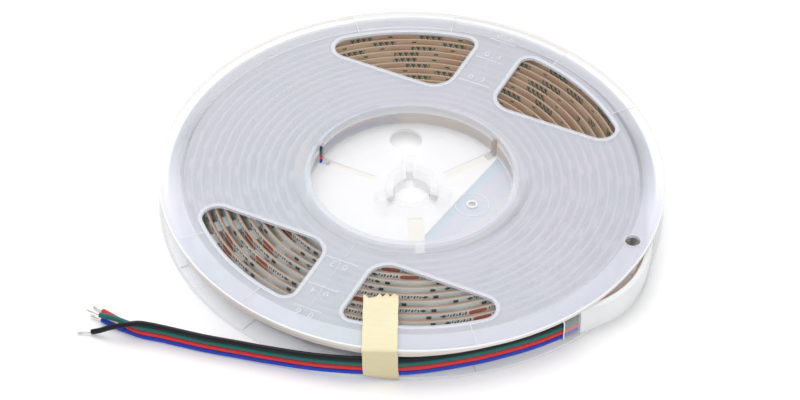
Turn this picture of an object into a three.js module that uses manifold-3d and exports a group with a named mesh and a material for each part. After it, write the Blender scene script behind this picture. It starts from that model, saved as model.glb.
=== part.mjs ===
// A reel of silicone covered LED strip light: a two-piece translucent reel, the strip wound in it
// with its board facing out and its liner facing in, a four-wire tail at each end, and a strap of
// paper tape that holds the outer tail. Millimetres, +Z up. The origin is on the reel's axis, in
// the plane that it lies on.

import * as THREE from 'three';
import { mergeVertices } from 'three/addons/utils/BufferGeometryUtils.js';
import Module from 'manifold-3d';

const wasm = await Module();
wasm.setup();

const degrees = Math.PI / 180;

// Reel
const FLANGE_RADIUS = 90;
const PLATE_THICKNESS = 1.1;
const BEAD_RISE = 0.4;
const RIM_WIDTH = 1.6;
const RIM_CHAMFER = 0.25;
const HUB_BORE_RADIUS = 36;
const HUB_WALL = 2.2;
const COLLAR_WIDTH = 2.4;
const SKIRT_WALL = 0.9;
const SKIRT_DEPTH = 2.4;
const LIP_WALL = 0.8;
const LIP_DEPTH = 1.6;
const LIP_START = 211 * degrees;
const LIP_FULL_END = 270 * degrees;
const LIP_END = 288 * degrees;
const SEAT_GAP = 0.3;
const CIRCLE_STEPS = 60;

// Windows in each flange: a straight inner edge, a straight edge along the spoke and an outer arc
const SPOKE_ANGLE = 65 * degrees;
const SPOKE_HALF_WIDTH = 9.4;
const WINDOW_HUB_MARGIN = 8;
const WINDOW_RIM_MARGIN = 12.2;
const WINDOW_CORNERS = [7.5, 5.6, 4];
const FRAME_WIDTH = 1.5;
const PAD_RISE = 0.2;
const PAD_START = 15 * degrees;
const PAD_END = 40 * degrees;
const TIE_HOLE_RADIUS = 2.7;
const TIE_HOLE_MARGIN = 6;
const TIE_HOLE_ANGLE = -23.5 * degrees;

// Web across the hub, with the arbor hole in its middle
const WEB_TOP = 4.8;
const WEB_THICKNESS = 1.3;
const BOSS_RADIUS = 9.5;
const BOSS_RISE = 4;
const ARBOR_RADIUS = 6.5;
const KEY_WIDTH = 2.5;
const KEY_REACH = 10.1;
const LOBE_WIDTH = 5.2;
const LOBE_REACH = 14.5;
const SLIT_WIDTH = 3.2;
const SLIT_COUNT = 3;
const FOOT_HOLE_LENGTH = 3.4;
const GROOVE_WIDTHS = [3.6, 2.5, 5.5];
const GROOVE_DEPTH = 0.6;
const GROOVE_MARGIN = 1.5;
const PEG_HOLE_RADIUS = 5.9;
const PEG_HOLE_REACH = 27.5;
const RECESS_DEPTH = 0.5;
const RECESS_EDGE = 16.4;
const RECESS_ANGLE = 328 * degrees;
const PIN_HOLE_RADIUS = 1.3;
const PIN_HOLE_REACH = 22.5;
const PIN_HOLE_ANGLE = -16.8 * degrees;

// Strip
const STRIP_WIDTH = 10.4;
const BOARD_WIDTH = 10;
const LINER_THICKNESS = 0.3;
const BOARD_THICKNESS = 0.4;
const SILICONE_THICKNESS = 2.1;
const LAYER_GAP = 0.1;
const TURN_PITCH = 3.3;
const STRIP_MARGIN = 0.3;
const EDGE_ROOM = 6.5;
const STRIP_START = 97 * degrees;
const STRIP_END = -49.5 * degrees;
const HUB_CLEARANCE = 0.6;
const STEPS_PER_TURN = 24;
const END_LIFT = 3.8;
const BULGE = 5.2;
const BULGE_SPAN = 46 * degrees;
const BULGE_SKEW = 0.7;

// Wires, four in a flat ribbon that stands on edge
const WIRE_DIAMETER = 1.9;
const WIRE_PITCH = 2;
const WIRE_NAMES = ['blue', 'red', 'green', 'black'];
const WIRE_COLOURS = ['#1f3fb4', '#d22a32', '#1d6b58', '#16161a'];
const WIRE_SIDES = 8;
const SLEEVE_WALL = 0.35;
const SLEEVE_CLEARANCE = 0.25;
const SLEEVE_LENGTH = 7;
const SLEEVE_STEPS = 4;
const INNER_TAIL_STEPS = 12;
const OUTER_TAIL_STEPS = 34;
const STRAND_DIAMETER = 0.7;

// Strap of paper tape
const TAPE_WIDTH = 12;
const TAPE_CENTRE = -9.9;
const TAPE_THICKNESS = 0.25;
const TAPE_REACH = 27.4;
const TAPE_STANDOFF = 0.15;
const TAPE_FOOT = 0.5;
// The torn end: share of the width, and how far the tape falls short there
const TAPE_TEAR = [[0, 0.7], [0.08, 1.1], [0.165, 2.6], [0.25, 2.1], [0.36, 1.8], [0.465, 0.1], [0.55, 1.7],
  [0.675, 0], [0.765, 1.6], [0.87, 0.1], [1, 1.1]];

// Heights and radii that follow from the values above
const reelHeight = STRIP_WIDTH + 2 * (STRIP_MARGIN + PLATE_THICKNESS + BEAD_RISE);
const coverUnderside = reelHeight - BEAD_RISE - PLATE_THICKNESS;
const baseTop = BEAD_RISE + PLATE_THICKNESS;
const hubOuterRadius = HUB_BORE_RADIUS + HUB_WALL;
const skirtBottom = coverUnderside - SKIRT_DEPTH;
const stripMiddle = reelHeight / 2;
const ribbonHeight = WIRE_PITCH * WIRE_NAMES.length;
const ribbonBottom = stripMiddle - ribbonHeight / 2;
const windowInnerEdge = hubOuterRadius + WINDOW_HUB_MARGIN;
const windowReach = FLANGE_RADIUS - WINDOW_RIM_MARGIN;
const tapeTopEnd = TAPE_REACH - FLANGE_RADIUS;
const stripThickness = LINER_THICKNESS + BOARD_THICKNESS + SILICONE_THICKNESS + 2 * LAYER_GAP;
const slitAngles = Array.from({ length: SLIT_COUNT },
  (_, k) => SPOKE_ANGLE - 30 * degrees + (k * 2 * Math.PI) / SLIT_COUNT);
const lobeAngles = slitAngles.map((angle) => angle + Math.PI / SLIT_COUNT);

// Outer tail: the ribbon's middle line in plan and the height of its lower edge, from the strip's
// end along the rim, under the tape and out over the edge of the reel
const RIBBON_ROUTE = [
  [57.1, -67.4, 3.0],
  [54.4, -69.5, 3.0],
  [51.4, -71.5, 3.0],
  [44.5, -75.5, 2.9],
  [37.6, -78.7, 2.8],
  [30.8, -81.4, 2.7],
  [24.0, -83.8, 2.6],
  [17.3, -85.7, 2.5],
  [10.5, -87.3, 2.3],
  [3.8, -88.6, 2.1],
  [-3.0, -89.2, 1.9],
  [-10.0, -89.4, 1.9],
  [-16.4, -89.2, 1.9],
  [-23.1, -88.6, 1.7],
  [-29.9, -87.6, 1.3],
  [-36.7, -86.2, 0.9],
  [-43.5, -84.6, 0.6],
  [-50.3, -83.0, 0.35],
  [-57.1, -81.3, 0.2],
  [-64.0, -79.7, 0.1],
  [-70.9, -78.0, 0.05],
  [-77.8, -76.0, 0.05],
  [-84.8, -74.0, 0.05],
];

// The last points of each wire's own middle line, where the ribbon is split
const WIRE_ENDS = {
  blue: [[-88.3, -73.2, 1.05], [-91.8, -72.2, 1.05], [-95.3, -70.6, 1.05], [-98.9, -68.9, 1.05],
    [-102.4, -66.9, 1.05], [-105.3, -64.9, 1.05]],
  red: [[-88.3, -73.2, 3.05], [-91.8, -72.3, 3.05], [-95.3, -70.5, 3.05], [-99.1, -66.7, 2.5],
    [-102.7, -63.2, 1.6], [-105.3, -60.9, 1.05]],
  green: [[-88.3, -73.2, 5.05], [-91.8, -72.4, 5.1], [-95.2, -71.0, 5.1], [-98.8, -69.0, 4.9],
    [-102.3, -67.0, 4.3], [-105.9, -65.3, 3.5]],
  black: [[-88.3, -73.1, 7.05], [-92.0, -72.6, 7.15], [-97.0, -72.8, 6.4], [-102.0, -72.2, 4.4],
    [-105.4, -71.7, 2.5], [-108.3, -71.2, 1.2]],
};
const STRAND_ENDS = {
  blue: [-109.6, -62.8, 1.0],
  red: [-109.3, -58.4, 0.9],
  green: [-111.4, -61.9, 3.0],
  black: [-113.6, -71.4, 0.7],
};

// Solids

function solidOf(geometry) {
  const bare = geometry.clone();
  bare.deleteAttribute('normal');
  bare.deleteAttribute('uv');
  const merged = mergeVertices(bare, 1e-4);
  return new wasm.Manifold(new wasm.Mesh({
    numProp: 3,
    vertProperties: new Float32Array(merged.attributes.position.array),
    triVerts: new Uint32Array(merged.index.array),
  }));
}

function geometryOf(solid) {
  const mesh = solid.getMesh();
  const geometry = new THREE.BufferGeometry();
  geometry.setAttribute('position', new THREE.BufferAttribute(mesh.vertProperties, 3));
  geometry.setIndex(new THREE.BufferAttribute(mesh.triVerts, 1));
  return geometry;
}

function prismGeometry(outline, bottom, top, holes = []) {
  const shape = new THREE.Shape(outline);
  shape.holes = holes.map((hole) => new THREE.Path(hole));
  const geometry = new THREE.ExtrudeGeometry(shape, { depth: top - bottom, bevelEnabled: false });
  return geometry.translate(0, 0, bottom);
}

function prism(outline, bottom, top, holes = []) {
  return solidOf(prismGeometry(outline, bottom, top, holes));
}

function polar(radius, angle) {
  return new THREE.Vector2(radius * Math.cos(angle), radius * Math.sin(angle));
}

function arc(centre, radius, from, to, steps) {
  return Array.from({ length: steps + 1 },
    (_, i) => polar(radius, from + ((to - from) * i) / steps).add(centre));
}

const AXIS = new THREE.Vector2(0, 0);

function circle(radius, steps = CIRCLE_STEPS, centre = AXIS) {
  return arc(centre, radius, 0, 2 * Math.PI, steps).slice(0, -1);
}

// A ring drawn as a section of radius and height, turned about the axis
function revolved(section) {
  const profile = [...section, section[0]].map(([radius, height]) => new THREE.Vector2(radius, height));
  return solidOf(new THREE.LatheGeometry(profile, CIRCLE_STEPS).rotateX(Math.PI / 2)
    .rotateZ(Math.PI / 2));
}

// A bar that runs out from the axis at an angle
function radialBar(angle, from, to, width, bottom, top) {
  const outline = [[from, -width / 2], [to, -width / 2], [to, width / 2], [from, width / 2]];
  return prism(outline.map(([x, y]) => new THREE.Vector2(x, y).rotateAround(AXIS, angle)), bottom, top);
}

function joined(solids) {
  return solids.reduce((whole, solid) => whole.add(solid));
}

function cut(solid, tools) {
  return solid.subtract(joined(tools));
}

// Window outlines, for the spoke along +X; offset widens the outline on every side for its frame

function windowOutline(offset = 0) {
  const [hub, tip, rim] = WINDOW_CORNERS.map((corner) => corner + offset);
  const side = SPOKE_HALF_WIDTH - offset;
  const edge = windowInnerEdge - offset;
  const reach = windowReach + offset;
  const hubCorner = new THREE.Vector2(edge + hub, side + hub);
  const tipCorner = new THREE.Vector2(edge + tip, Math.sqrt((reach - tip) ** 2 - (edge + tip) ** 2));
  const rimCorner = new THREE.Vector2(Math.sqrt((reach - rim) ** 2 - (side + rim) ** 2), side + rim);
  return [
    ...arc(hubCorner, hub, 1.5 * Math.PI, Math.PI, 4),
    ...arc(tipCorner, tip, Math.PI, tipCorner.angle(), 4),
    ...arc(AXIS, reach, tipCorner.angle(), rimCorner.angle(), 7).slice(1, -1),
    ...arc(rimCorner, rim, rimCorner.angle(), -0.5 * Math.PI, 4),
  ].reverse();
}

function padOutline() {
  const inner = windowReach + FRAME_WIDTH / 2;
  const outer = FLANGE_RADIUS - RIM_WIDTH / 2;
  return [...arc(AXIS, outer, PAD_START, PAD_END, 6), ...arc(AXIS, inner, PAD_END, PAD_START, 6)];
}

// The four copies of an outline, two on each side of both spokes
function fourfold(outline) {
  const mirrored = outline.map((p) => new THREE.Vector2(p.x, -p.y)).reverse();
  return [outline, mirrored].flatMap((half) => [0, Math.PI].map((turn) => half
    .map((p) => p.clone().rotateAround(AXIS, SPOKE_ANGLE + turn))));
}

// One flange lying on its outer face at height 0: collar, plate, rim, window frames and pads, with
// a wall of its own section around the hub
function flange(wallSection) {
  const plateTop = BEAD_RISE + PLATE_THICKNESS;
  const inside = FLANGE_RADIUS - RIM_WIDTH;
  const disc = revolved([
    [HUB_BORE_RADIUS, 0],
    [HUB_BORE_RADIUS + COLLAR_WIDTH, 0],
    [HUB_BORE_RADIUS + COLLAR_WIDTH, BEAD_RISE],
    [inside, BEAD_RISE],
    [inside, 0],
    [FLANGE_RADIUS - RIM_CHAMFER, 0],
    [FLANGE_RADIUS, RIM_CHAMFER],
    [FLANGE_RADIUS, plateTop],
    ...wallSection(plateTop),
  ]);
  const middle = BEAD_RISE + PLATE_THICKNESS / 2;
  const frames = fourfold(windowOutline(FRAME_WIDTH)).map((o) => prism(o, 0, middle));
  const pads = fourfold(padOutline()).map((o) => prism(o, BEAD_RISE - PAD_RISE, middle));
  const openings = fourfold(windowOutline()).map((o) => prism(o, -1, plateTop + 1));
  const tieHole = circle(TIE_HOLE_RADIUS, 14, polar(FLANGE_RADIUS - TIE_HOLE_MARGIN, TIE_HOLE_ANGLE));
  return cut(joined([disc, ...frames, ...pads]), [...openings, prism(tieHole, -1, plateTop + 1)]);
}

function slitCutters(bottom, top) {
  return slitAngles.map((angle) => radialBar(angle, HUB_BORE_RADIUS - 1, hubOuterRadius + 1,
    SLIT_WIDTH, bottom, top));
}

// Base: lower flange, hub wall and the web with its keyed arbor boss

function arborBoss() {
  const top = WEB_TOP + BOSS_RISE;
  const tube = prism(circle(BOSS_RADIUS, 36), BEAD_RISE, top);
  const lobes = lobeAngles.map((angle) => radialBar(angle, 0, LOBE_REACH, LOBE_WIDTH, BEAD_RISE, top));
  return joined([tube, ...lobes]);
}

function arborCutters() {
  const top = WEB_TOP + BOSS_RISE + 1;
  const bore = prism(circle(ARBOR_RADIUS, 36), -1, top);
  const keys = lobeAngles.map((angle) => radialBar(angle, 0, KEY_REACH, KEY_WIDTH, -1, top));
  return [bore, ...keys];
}

function webCutters() {
  const holeBottom = WEB_TOP - WEB_THICKNESS - 1;
  const holeTop = WEB_TOP + 1;
  const grooves = slitAngles.map((angle, k) => radialBar(angle, LOBE_REACH,
    HUB_BORE_RADIUS - GROOVE_MARGIN, GROOVE_WIDTHS[k], WEB_TOP - GROOVE_DEPTH, holeTop));
  const feet = slitAngles.map((angle) => radialBar(angle, HUB_BORE_RADIUS - FOOT_HOLE_LENGTH,
    HUB_BORE_RADIUS + HUB_WALL / 2, SLIT_WIDTH, holeBottom, holeTop));
  const pegHole = prism(circle(PEG_HOLE_RADIUS, 28, polar(PEG_HOLE_REACH, lobeAngles[0])),
    holeBottom, holeTop);
  const pinHole = prism(circle(PIN_HOLE_RADIUS, 14, polar(PIN_HOLE_REACH, PIN_HOLE_ANGLE)),
    holeBottom, holeTop);
  return [...grooves, ...feet, pegHole, pinHole, webRecess(holeTop)];
}

// The shallow recess on one side of the web, ended by a straight step
function webRecess(top) {
  const half = Math.acos(RECESS_EDGE / HUB_BORE_RADIUS);
  const outline = arc(AXIS, HUB_BORE_RADIUS - SEAT_GAP, RECESS_ANGLE - half, RECESS_ANGLE + half, 20);
  return prism(outline, WEB_TOP - RECESS_DEPTH, top);
}

function reelBase() {
  const bore = HUB_BORE_RADIUS;
  const wallTop = coverUnderside - SEAT_GAP;
  const wallStep = skirtBottom - SEAT_GAP;
  const body = flange((plateTop) => [
    [hubOuterRadius, plateTop],
    [hubOuterRadius, wallTop],
    [bore + SKIRT_WALL + SEAT_GAP, wallTop],
    [bore + SKIRT_WALL + SEAT_GAP, wallStep],
    [bore, wallStep],
  ]);
  const web = cut(prism(circle(bore + HUB_WALL / 2), WEB_TOP - WEB_THICKNESS, WEB_TOP), webCutters());
  const whole = joined([body, web, arborBoss()]);
  return cut(whole, [...slitCutters(baseTop, coverUnderside + 1), ...arborCutters()]);
}

// The lip that hangs from the cover's rim over a part of its edge, on two sides, sloped at one end
function edgeLips() {
  const top = coverUnderside + PLATE_THICKNESS / 2;
  const lowest = coverUnderside - LIP_DEPTH;
  const inside = FLANGE_RADIUS - LIP_WALL;
  const piece = (from, to, bottom) => prism(
    [...arc(AXIS, FLANGE_RADIUS, from, to, 4), ...arc(AXIS, inside, to, from, 4)], bottom, top);
  const middle = (LIP_START + LIP_FULL_END) / 2;
  const slope = [1, 2, 3].map((k) => piece(LIP_FULL_END + ((k - 1) * (LIP_END - LIP_FULL_END)) / 3,
    LIP_FULL_END + (k * (LIP_END - LIP_FULL_END)) / 3, lowest + (k * LIP_DEPTH) / 4));
  const lip = joined([piece(LIP_START, middle, lowest), piece(middle, LIP_FULL_END, lowest), ...slope]);
  return lip.add(lip.rotate([0, 0, 180]));
}

// Cover: upper flange, the same moulding turned over, with a skirt that fits inside the hub wall
function reelCover() {
  const skirtEnd = reelHeight - skirtBottom;
  const body = flange((plateTop) => [
    [HUB_BORE_RADIUS + SKIRT_WALL, plateTop],
    [HUB_BORE_RADIUS + SKIRT_WALL, skirtEnd],
    [HUB_BORE_RADIUS, skirtEnd],
  ]);
  const upper = body.mirror([0, 0, 1]).translate([0, 0, reelHeight]);
  return cut(upper.add(edgeLips()), slitCutters(skirtBottom - 1, coverUnderside));
}

// Strip: layers of one spiral, wound clockwise outwards, that share their stations

const windingRoom = FLANGE_RADIUS - EDGE_ROOM - hubOuterRadius - HUB_CLEARANCE;
const wholeTurns = Math.floor(windingRoom / TURN_PITCH);
const sweep = STRIP_START - STRIP_END + wholeTurns * 2 * Math.PI;
const stations = Math.round((sweep / (2 * Math.PI)) * STEPS_PER_TURN);

function spiralRadius(swept) {
  const back = Math.min(1, (sweep - swept) / BULGE_SPAN);
  const lift = END_LIFT * (1 - back) ** 2 * (1 + 2 * back);
  const bulge = BULGE * Math.sin(Math.PI * back ** BULGE_SKEW) ** 2;
  return hubOuterRadius + HUB_CLEARANCE + (TURN_PITCH * swept) / (2 * Math.PI) + lift + bulge;
}

function spiralEdge(offset) {
  return Array.from({ length: stations + 1 }, (_, i) => {
    const swept = (sweep * i) / stations;
    return polar(spiralRadius(swept) + offset, STRIP_START - swept);
  });
}

function stripLayer(offset, thickness, width) {
  const outline = [...spiralEdge(offset), ...spiralEdge(offset + thickness).reverse()];
  return prismGeometry(outline, stripMiddle - width / 2, stripMiddle + width / 2);
}

const boardOffset = LINER_THICKNESS + LAYER_GAP;
const siliconeOffset = boardOffset + BOARD_THICKNESS + LAYER_GAP;

// The outer tail starts at the strip's end, halfway through its layers and halfway up
const tailRadius = spiralRadius(sweep) + stripThickness / 2;
const routeScale = tailRadius / Math.hypot(RIBBON_ROUTE[0][0], RIBBON_ROUTE[0][1]);
const routeLift = ribbonBottom / RIBBON_ROUTE[0][2];
const ribbonRoute = RIBBON_ROUTE.map(([x, y, lift]) => [x * routeScale, y * routeScale, lift * routeLift]);
const placedEnds = (points) => points.map(([x, y, lift]) => [x * routeScale, y * routeScale, lift]);

// Wires

function curveThrough(points) {
  return new THREE.CatmullRomCurve3(points.map((p) => new THREE.Vector3(...p)));
}

function tubeAlong(points, diameter, steps, sides = WIRE_SIDES) {
  const section = new THREE.Shape(circle(diameter / 2, sides));
  const extrudePath = curveThrough(points);
  return new THREE.ExtrudeGeometry(section, { extrudePath, steps, bevelEnabled: false });
}

// Clear sleeve over the joint between strip and wires: a flat tube along the ribbon's first points
function endSleeve(points) {
  const curve = curveThrough(points);
  const total = curve.getLength();
  const halfWidth = WIRE_DIAMETER / 2 + SLEEVE_CLEARANCE;
  const side = (half, margin) => Array.from({ length: SLEEVE_STEPS + 1 }, (_, i) => {
    const along = (SLEEVE_LENGTH * i) / SLEEVE_STEPS;
    const at = curve.getPointAt(along / total);
    const heading = curve.getTangentAt(along / total);
    const past = i === 0 ? -margin : (i === SLEEVE_STEPS ? margin : 0);
    return new THREE.Vector2(at.x + heading.x * past - heading.y * half,
      at.y + heading.y * past + heading.x * half);
  });
  const band = (half, margin) => [...side(half, margin), ...side(-half, margin).reverse()];
  const bottom = points[0][2] - SLEEVE_CLEARANCE;
  const top = points[0][2] + ribbonHeight + SLEEVE_CLEARANCE;
  const outer = prism(band(halfWidth + SLEEVE_WALL, 0), bottom - SLEEVE_WALL, top + SLEEVE_WALL);
  return outer.subtract(prism(band(halfWidth, 1), bottom, top));
}

function outerWirePoints(k) {
  const ribbon = ribbonRoute.map(([x, y, lift]) => [x, y, lift + (k + 0.5) * WIRE_PITCH]);
  return [...ribbon, ...placedEnds(WIRE_ENDS[WIRE_NAMES[k]])];
}

function strandPoints(name) {
  const [from, to] = placedEnds([WIRE_ENDS[name].at(-1), STRAND_ENDS[name]])
    .map((p) => new THREE.Vector3(...p));
  const direction = to.clone().sub(from).normalize();
  return [from.addScaledVector(direction, SEAT_GAP).toArray(), to.toArray()];
}

// Inner tail: from the strip's start back round the hub to a slit, and in through the slit
const innerTailRadius = hubOuterRadius + WIRE_DIAMETER / 2 + SLEEVE_CLEARANCE + SLEEVE_WALL + 0.15;
const innerTailSlit = slitAngles[1];

const innerTailRoute = [
  ...arc(AXIS, innerTailRadius, STRIP_START + SEAT_GAP / innerTailRadius,
    innerTailSlit - (2.5 * WIRE_DIAMETER) / innerTailRadius, 6),
  polar(innerTailRadius - WIRE_DIAMETER / 3, innerTailSlit - WIRE_DIAMETER / 2 / innerTailRadius),
  polar(HUB_BORE_RADIUS + SEAT_GAP, innerTailSlit),
].map((p) => [p.x, p.y, ribbonBottom]);

function innerWirePoints(k) {
  return innerTailRoute.map(([x, y, lift]) => [x, y, lift + (k + 0.5) * WIRE_PITCH]);
}

// Tape: from its torn end on the cover, over the rim and the ribbon, down to the base

function tapeStrap() {
  const top = reelHeight + TAPE_STANDOFF;
  const ribbonSide = Math.max(...ribbonRoute.map(([x, y]) => (
    Math.abs(x - TAPE_CENTRE) < TAPE_WIDTH ? -y : 0))) + WIRE_DIAMETER / 2;
  const front = -Math.max(ribbonSide, FLANGE_RADIUS) - TAPE_STANDOFF;
  const fold = (lift) => [
    [tapeTopEnd, top + lift],
    [front + 0.9, top + lift],
    [front - lift, top - 0.9],
    [front - lift, TAPE_FOOT],
  ];
  const outline = [...fold(0), ...fold(TAPE_THICKNESS).reverse()];
  const side = new THREE.Shape(outline.map(([y, z]) => new THREE.Vector2(y, z)));
  const strap = solidOf(new THREE.ExtrudeGeometry(side, { depth: TAPE_WIDTH, bevelEnabled: false })
    .applyMatrix4(new THREE.Matrix4().set(0, 0, 1, TAPE_CENTRE - TAPE_WIDTH / 2, 1, 0, 0, 0, 0, 1, 0, 0,
      0, 0, 0, 1)));
  const tear = TAPE_TEAR.map(([share, short]) => new THREE.Vector2(
    TAPE_CENTRE + (share - 0.5) * TAPE_WIDTH, tapeTopEnd - short));
  const beyond = [1, -1].map((end) => new THREE.Vector2(TAPE_CENTRE + end * TAPE_WIDTH, tapeTopEnd + 1));
  tear[0].x -= 1;
  tear.at(-1).x += 1;
  return cut(strap, [prism([...tear, ...beyond], top - 1, top + 1)]);
}

// Materials

function material(color, roughness, extra = {}) {
  return new THREE.MeshStandardMaterial({ color, roughness, metalness: 0, ...extra });
}

const frosted = () => material('#e9edf3', 0.4, { transparent: true, opacity: 0.8 });
const clear = () => material('#eef2f4', 0.15, { transparent: true, opacity: 0.35 });

// Assembly

const reel = new THREE.Group();

function addPart(name, geometry, finish) {
  const mesh = new THREE.Mesh(geometry, finish);
  mesh.name = name;
  reel.add(mesh);
}

addPart('reel_base', geometryOf(reelBase()), frosted());
addPart('reel_cover', geometryOf(reelCover()), frosted());
addPart('strip_liner', stripLayer(0, LINER_THICKNESS, BOARD_WIDTH), material('#c9b18c', 0.6));
addPart('strip_board', stripLayer(boardOffset, BOARD_THICKNESS, BOARD_WIDTH), material('#dcdedd', 0.45));
addPart('strip_silicone', stripLayer(siliconeOffset, SILICONE_THICKNESS, STRIP_WIDTH), clear());

addPart('outer_end_sleeve', geometryOf(endSleeve(ribbonRoute)), clear());
addPart('inner_end_sleeve', geometryOf(endSleeve(innerTailRoute)), clear());

WIRE_NAMES.forEach((name, k) => {
  const finish = () => material(WIRE_COLOURS[k], 0.35);
  addPart(`outer_wire_${name}`, tubeAlong(outerWirePoints(k), WIRE_DIAMETER, OUTER_TAIL_STEPS), finish());
  addPart(`inner_wire_${name}`, tubeAlong(innerWirePoints(k), WIRE_DIAMETER, INNER_TAIL_STEPS), finish());
  addPart(`outer_strands_${name}`, tubeAlong(strandPoints(name), STRAND_DIAMETER, 1, 6),
    new THREE.MeshStandardMaterial({ color: '#c4c4c2', roughness: 0.35, metalness: 0.9 }));
});

addPart('masking_tape', geometryOf(tapeStrap()), material('#efe2b0', 0.85));

export default reel;
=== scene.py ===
"""A reel of silicone covered LED strip, its flat four-wire tail taped to the rim. Metres."""

import math
import random

import bmesh
import bpy
from mathutils import Matrix, Vector


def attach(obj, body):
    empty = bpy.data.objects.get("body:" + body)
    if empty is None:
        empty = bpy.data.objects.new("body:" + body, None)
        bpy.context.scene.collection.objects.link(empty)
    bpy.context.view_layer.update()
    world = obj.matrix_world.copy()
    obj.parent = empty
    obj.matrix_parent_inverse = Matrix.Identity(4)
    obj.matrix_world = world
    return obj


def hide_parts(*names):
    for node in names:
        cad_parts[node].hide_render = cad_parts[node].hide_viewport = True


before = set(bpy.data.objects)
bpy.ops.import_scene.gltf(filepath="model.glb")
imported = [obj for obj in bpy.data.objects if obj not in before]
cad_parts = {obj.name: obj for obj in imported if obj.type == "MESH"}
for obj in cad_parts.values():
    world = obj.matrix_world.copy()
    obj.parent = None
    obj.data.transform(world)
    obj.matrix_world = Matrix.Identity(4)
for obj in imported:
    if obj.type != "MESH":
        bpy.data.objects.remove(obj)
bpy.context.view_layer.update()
MM = 0.001


# Sizes and places, in millimetres

def polar(reach, angle, centre=(0, 0)):
    return centre[0] + reach * math.cos(angle), centre[1] + reach * math.sin(angle)


# Both flanges; FACE is how deep a flange's face lies below its raised edges
HEIGHT = 14
FLANGE_RADIUS = 90
HUB_RADIUS = 36
HUB_OUTER = 38.2
FACE = 0.4
PANEL_INNER, PANEL_MIDDLE, PANEL_OUTER = 79.4, 84, 88.7
PANEL_START, PANEL_END = math.radians(15), math.radians(40)
TIE_HOLE_RADIUS = 2.7
TIE_HOLE = polar(PANEL_MIDDLE, math.radians(-23.5))

# The hub, with its three slits and the boss's three lobes between them
SPOKE = math.radians(65)
SLITS = [SPOKE + math.radians(120 * k - 30) for k in range(3)]
LOBES = [slit + math.pi / 3 for slit in SLITS]
SLIT_WIDTH = 3.2
WEB_BOTTOM, WEB_TOP = 3.5, 4.8
GROOVE_FLOOR, RECESS_FLOOR = 4.2, 4.3
RECESS_RADIUS, RECESS_EDGE = 35.7, 16.4
RECESS_SIDE = math.radians(328)
BORE_RADIUS = 6.5
KEYWAY_REACH, KEYWAY_WIDTH = 10.1, 2.5
BOSS_RADIUS, BOSS_TOP = 9.5, 8.8
PEG_HOLE_RADIUS = 5.9
PEG_HOLE = polar(27.5, LOBES[0])
PIN_HOLE_RADIUS = 1.3
PIN_HOLE = polar(22.5, math.radians(-16.8))

# The strip; its circuits are counted so that the loose end lies at the last one
STRIP_BOTTOM, STRIP_TOP = 2, 12
CIRCUIT = 50
LAST_CIRCUIT = 200


# Camera

PICTURE_WIDTH = 800


def look_from(position, elevation, roll, focal_pixels):
    """A camera aimed along +Y and down, rolled a little, with its focal length in picture pixels."""
    data = bpy.data.cameras.new("camera")
    data.sensor_width = 36
    data.lens = focal_pixels / PICTURE_WIDTH * data.sensor_width
    data.clip_end = 10
    camera = bpy.data.objects.new("camera", data)
    ahead = Vector((0, math.cos(elevation), -math.sin(elevation)))
    up = Vector((0, math.sin(elevation), math.cos(elevation)))
    right = Vector((1, 0, 0))
    x = right * math.cos(roll) + up * math.sin(roll)
    y = up * math.cos(roll) - right * math.sin(roll)
    turn = Matrix((x, y, -ahead)).transposed().to_4x4()
    camera.matrix_world = Matrix.Translation(Vector(position) * MM) @ turn
    bpy.context.collection.objects.link(camera)
    bpy.context.scene.camera = camera


look_from(position=(-4.073, -855.19, 781.81), elevation=math.radians(42.434),
          roll=math.radians(1.171), focal_pixels=3238.9)


# Finishes

class Signal:
    """A number that varies over a surface. Arithmetic on it adds Math nodes."""

    def __init__(self, socket):
        self.socket = socket

    def math(self, operation, *terms):
        return Signal(add_node(self.socket.id_data, "ShaderNodeMath", {"operation": operation},
                               {i: term for i, term in enumerate(terms)}).outputs[0])

    def __add__(self, other):
        return self.math("ADD", self, other)

    def __radd__(self, other):
        return self.math("ADD", other, self)

    def __sub__(self, other):
        return self.math("SUBTRACT", self, other)

    def __rsub__(self, other):
        return self.math("SUBTRACT", other, self)

    def __mul__(self, other):
        return self.math("MULTIPLY", self, other)

    def __rmul__(self, other):
        return self.math("MULTIPLY", other, self)

    def __truediv__(self, other):
        return self.math("DIVIDE", self, other)

    def __lt__(self, other):
        return self.math("LESS_THAN", self, other)

    def __gt__(self, other):
        return self.math("GREATER_THAN", self, other)

    def __or__(self, other):
        return self.math("MAXIMUM", self, other)

    def __abs__(self):
        return self.math("ABSOLUTE", self)

    def fraction(self):
        return self.math("FRACT", self)

    def near(self, middle, reach):
        return abs(self - middle) < reach


def add_node(tree, kind, settings, inputs):
    node = tree.nodes.new(kind)
    for name, value in settings.items():
        if name == "stops":
            stops = node.color_ramp.elements
            for position, colour in value[2:]:
                stops.new(position)
            for stop, (position, colour) in zip(stops, sorted(value)):
                stop.position = position
                stop.color = (*colour, 1)
        else:
            setattr(node, name, value)
    for name, value in inputs.items():
        plug(tree, node.inputs[name], value)
    return node


def plug(tree, socket, value):
    if isinstance(value, Signal):
        tree.links.new(value.socket, socket)
    elif isinstance(value, bpy.types.NodeSocket):
        tree.links.new(value, socket)
    elif isinstance(value, (tuple, list)) and len(value) == 3 and socket.type == "RGBA":
        socket.default_value = (*value, 1)
    else:
        socket.default_value = value


LIGHT_SCATTERED_ON = 0.65
UPRIGHT = 0.35
CUT_EDGE = 0.9985


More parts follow.
